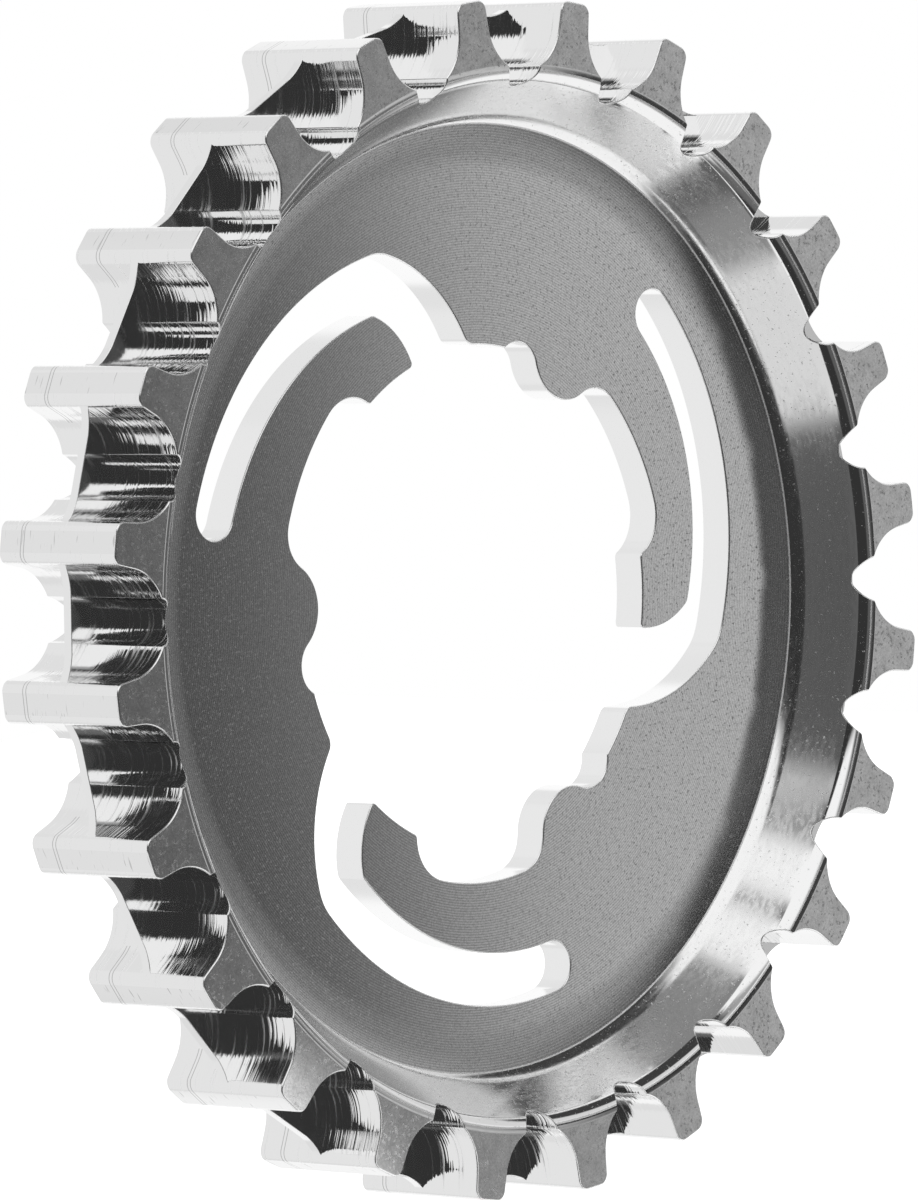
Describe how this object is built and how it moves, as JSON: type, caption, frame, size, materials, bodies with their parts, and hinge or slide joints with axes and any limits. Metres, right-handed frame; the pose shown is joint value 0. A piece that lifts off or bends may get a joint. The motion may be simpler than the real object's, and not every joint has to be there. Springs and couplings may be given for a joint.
{
  "type": "belt drive sprocket",
  "caption": "Rear belt sprocket with a dished rim, a thin fin round its teeth and a hub seat with drive lugs and curved spring fingers.",
  "frame": {"origin": "on the wheel axis, halfway through the rim", "axes": "+Y along the wheel axis, away from the deeper dished front face; a tooth points along +Z"},
  "size_m": [0.0824, 0.0108, 0.0824],
  "materials": {
    "steel": "satin turned faces, bright milled tooth gaps"
  },
  "bodies": {
    "root": {"sprocket": "steel"}
  },
  "joints": []
}
